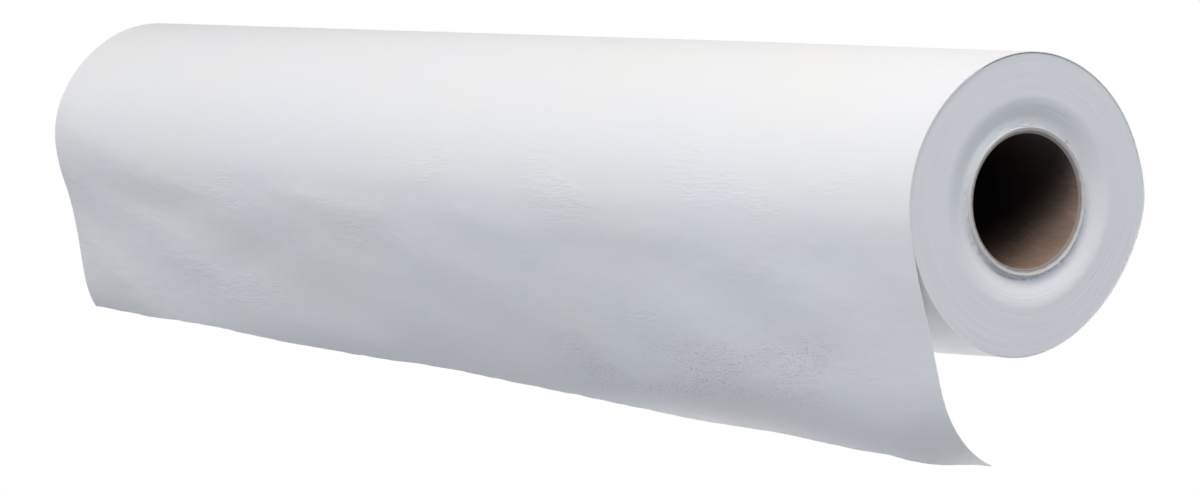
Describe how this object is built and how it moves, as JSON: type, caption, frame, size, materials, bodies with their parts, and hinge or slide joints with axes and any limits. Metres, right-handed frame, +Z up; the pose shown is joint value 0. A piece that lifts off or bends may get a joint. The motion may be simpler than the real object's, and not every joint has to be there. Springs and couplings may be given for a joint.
{
  "type": "exam table paper roll",
  "caption": "Wide roll of crepe paper wound on a cardboard core, with its loose end hanging down in front.",
  "frame": {"origin": "middle of the core's bore, on the axis of the roll", "axes": "+X along the roll's axis towards its near end, the longest extent; +Z up; the loose end leaves the roll at the front, -Y, and hangs down"},
  "size_m": [0.5356, 0.0907, 0.122],
  "materials": {
    "crepe_paper": "matt white crepe with fine wrinkles along the roll's axis",
    "cardboard": "matt brown spiral-wound board, cut edges grey"
  },
  "bodies": {
    "root": {"paper": "crepe_paper", "core": "cardboard"}
  },
  "joints": []
}
